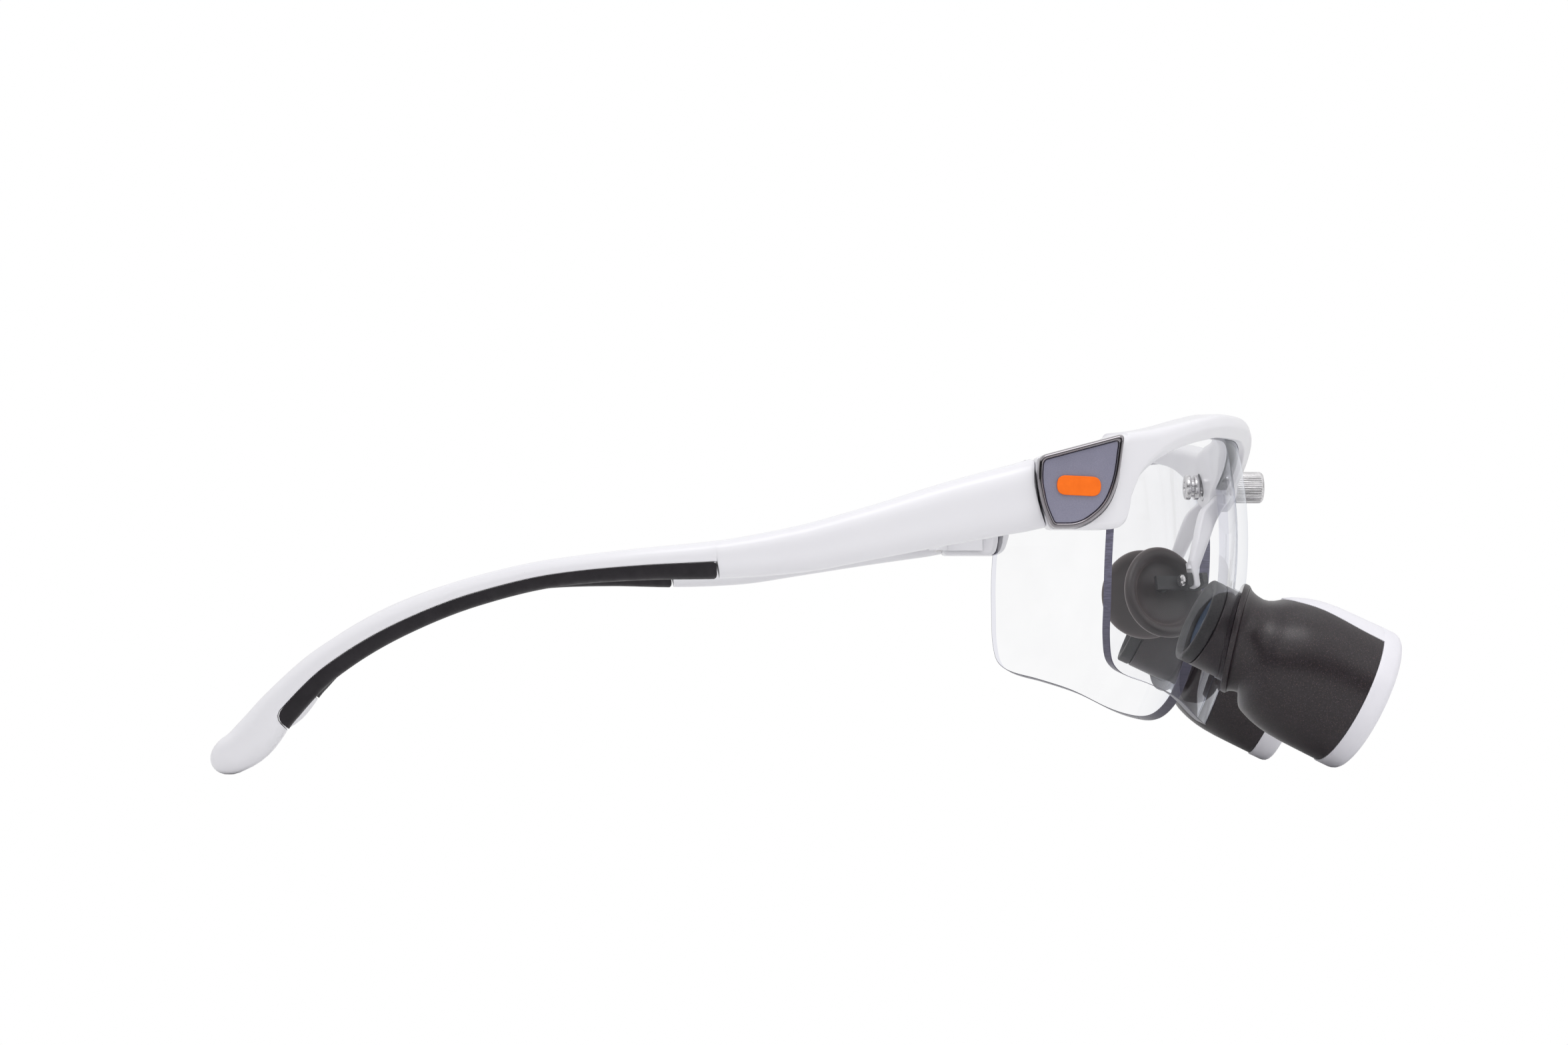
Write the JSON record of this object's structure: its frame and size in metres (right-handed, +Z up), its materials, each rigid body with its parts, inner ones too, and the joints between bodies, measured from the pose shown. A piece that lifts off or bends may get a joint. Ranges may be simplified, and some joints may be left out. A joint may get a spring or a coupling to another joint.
{
  "type": "dental loupes",
  "caption": "Wrap-around sport frame with folding temples that carries through-the-lens magnifying telescopes, tipped down and turned in.",
  "frame": {"origin": "centre of the footprint on the table plane that the temple tips and the telescope caps rest on; X = 0 is the symmetry plane through the bridge", "axes": "-Y is the wearer's forward view, +X is the wearer's left, +Z is up"},
  "size_m": [0.1492, 0.1788, 0.0531],
  "materials": {
    "frame_white": "glossy white moulded plastic",
    "cap_white": "satin white plastic",
    "rubber_black": "matte black soft-touch rubber",
    "lens_clear": "clear coated polycarbonate",
    "rubber_brown": "soft dark brown rubber",
    "dark_chrome": "dark polished bevel",
    "panel_grey": "satin violet-grey",
    "badge_orange": "plain orange bar",
    "housing_paint": "dark bronze-grey metallic flake",
    "black_matte": "matt black, anti-reflection",
    "steel": "turned and knurled",
    "optic_glass": "coated optic"
  },
  "bodies": {
    "front": {"frame_front": "frame_white", "bridge_bush": "steel", "grooved_stud": "steel", "carrier_lens_left": "lens_clear", "carrier_lens_right": "lens_clear", "hinge_leaf_front_left": "frame_white", "hinge_leaf_front_right": "frame_white", "hinge_screw_left": "steel", "hinge_screw_right": "steel", "plaque_bezel_left": "dark_chrome", "plaque_bezel_right": "dark_chrome", "plaque_panel_left": "panel_grey", "plaque_panel_right": "panel_grey", "plaque_badge_left": "badge_orange", "plaque_badge_right": "badge_orange", "nose_pad_pin_left": "steel", "nose_pad_pin_right": "steel", "telescope_housing_left": "housing_paint", "telescope_housing_right": "housing_paint", "front_cap_left": "cap_white", "front_cap_right": "cap_white", "lens_flange_left": "housing_paint", "lens_flange_right": "housing_paint", "eyepiece_ring_left": "black_matte", "eyepiece_ring_right": "black_matte", "eyepiece_lens_left": "optic_glass", "eyepiece_lens_right": "optic_glass", "baffle_tube_left": "black_matte", "baffle_tube_right": "black_matte", "objective_lens_left": "optic_glass", "objective_lens_right": "optic_glass", "objective_ring_left": "black_matte", "objective_ring_right": "black_matte"},
    "left_temple": {"temple_arm_left": "frame_white", "temple_pad_left": "rubber_black", "hinge_leaf_temple_left": "frame_white"},
    "right_temple": {"temple_arm_right": "frame_white", "temple_pad_right": "rubber_black", "hinge_leaf_temple_right": "frame_white"},
    "left_nose_pad": {"nose_pad_left": "rubber_brown", "nose_pad_clip_left": "black_matte"},
    "right_nose_pad": {"nose_pad_right": "rubber_brown", "nose_pad_clip_right": "black_matte"},
    "screw": {"thumb_screw": "steel"}
  },
  "joints": [
    {"name": "left_temple_fold", "type": "hinge", "parent": "front", "child": "left_temple", "pos_m": [0.06516, -0.0287, 0.04], "axis": [0, 0, 1], "range_deg": [0, 93]},
    {"name": "right_temple_fold", "type": "hinge", "parent": "front", "child": "right_temple", "pos_m": [-0.06516, -0.0287, 0.04], "axis": [0, 0, -1], "range_deg": [0, 83]},
    {"name": "left_nose_pad_rock", "type": "hinge", "parent": "front", "child": "left_nose_pad", "pos_m": [0.0112, -0.061, 0.029], "axis": [0.3746, 0.9272, 0], "range_deg": [-8, 8]},
    {"name": "right_nose_pad_rock", "type": "hinge", "parent": "front", "child": "right_nose_pad", "pos_m": [-0.0112, -0.061, 0.029], "axis": [0.3746, -0.9272, 0], "range_deg": [-8, 8]},
    {"name": "thumb_screw_turn", "type": "hinge", "parent": "front", "child": "screw", "pos_m": [0, -0.07, 0.0441], "axis": [0, 1, 0], "continuous": true}
  ]
}
